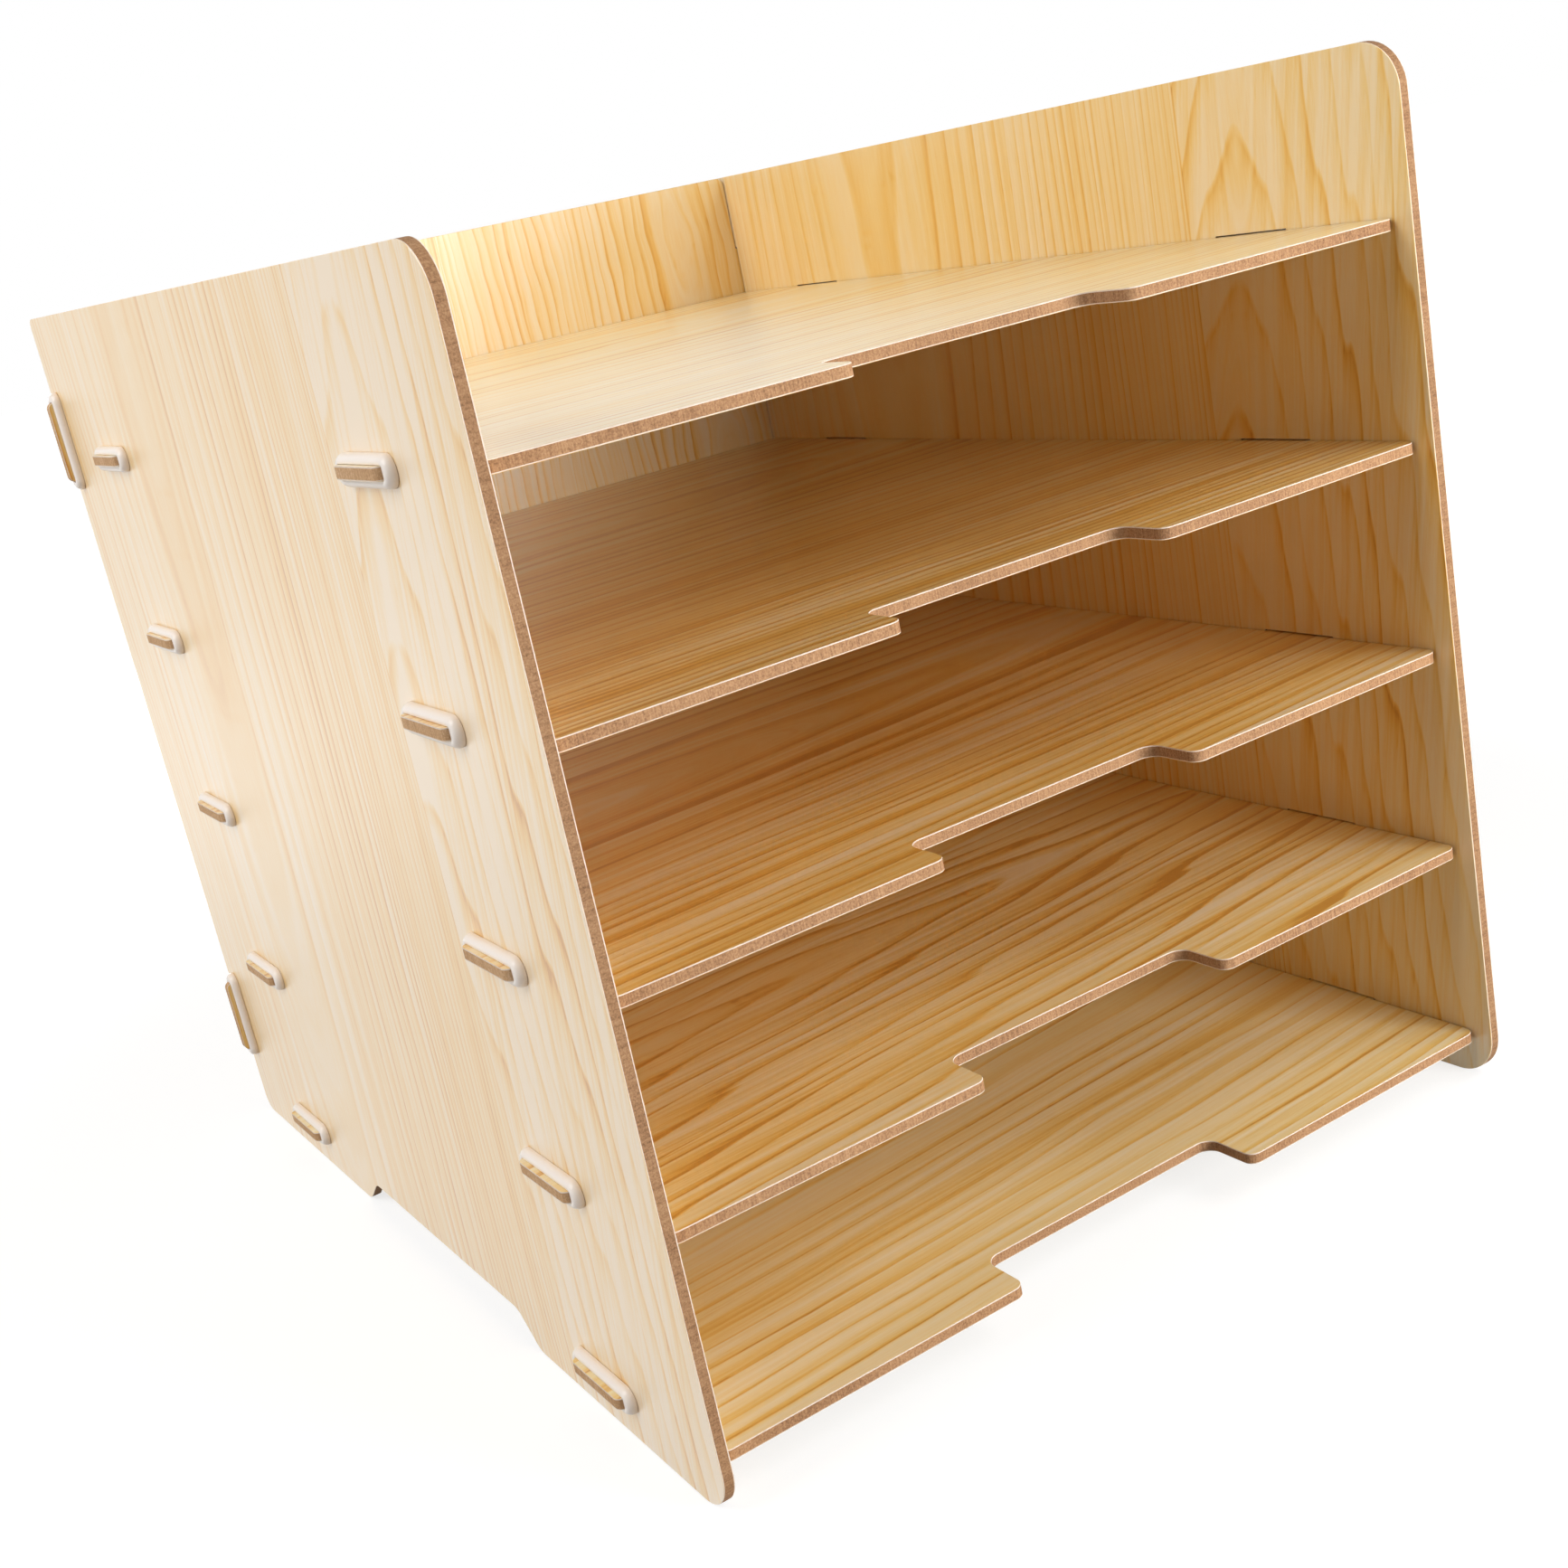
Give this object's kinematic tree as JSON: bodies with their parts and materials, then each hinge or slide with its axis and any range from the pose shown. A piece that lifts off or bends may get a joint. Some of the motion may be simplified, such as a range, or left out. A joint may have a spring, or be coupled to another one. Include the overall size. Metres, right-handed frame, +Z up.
{
  "type": "desk file sorter",
  "caption": "Open-fronted desk file sorter of slotted pine-look boards, with shelves that have finger cut-outs and frosted collars locking every tab.",
  "frame": {"origin": "on the desk, under the middle of the sorter's overall box", "axes": "+X to the right as seen from the open front, +Y to the rear, +Z up; the open front faces -Y"},
  "size_m": [0.2624, 0.322, 0.275],
  "materials": {
    "side_board": "satin pine-look film on fibreboard, grain upright",
    "shelf": "satin pine-look film on fibreboard, grain from side to side",
    "back_board": "satin pine-look film on fibreboard, grain upright",
    "collar": "frosted, slightly see-through moulded plastic"
  },
  "bodies": {
    "root": {"left_side_board": "side_board", "right_side_board": "side_board", "back_board": "back_board", "shelf_1": "shelf", "shelf_2": "shelf", "shelf_3": "shelf", "shelf_4": "shelf", "shelf_5": "shelf", "collar_left_shelf_1_front": "collar", "collar_left_shelf_1_rear": "collar", "collar_left_shelf_2_front": "collar", "collar_left_shelf_2_rear": "collar", "collar_left_shelf_3_front": "collar", "collar_left_shelf_3_rear": "collar", "collar_left_shelf_4_front": "collar", "collar_left_shelf_4_rear": "collar", "collar_left_shelf_5_front": "collar", "collar_left_shelf_5_rear": "collar", "collar_left_back_upper": "collar", "collar_left_back_lower": "collar", "collar_right_shelf_1_front": "collar", "collar_right_shelf_1_rear": "collar", "collar_right_shelf_2_front": "collar", "collar_right_shelf_2_rear": "collar", "collar_right_shelf_3_front": "collar", "collar_right_shelf_3_rear": "collar", "collar_right_shelf_4_front": "collar", "collar_right_shelf_4_rear": "collar", "collar_right_shelf_5_front": "collar", "collar_right_shelf_5_rear": "collar", "collar_right_back_upper": "collar", "collar_right_back_lower": "collar"}
  },
  "joints": []
}
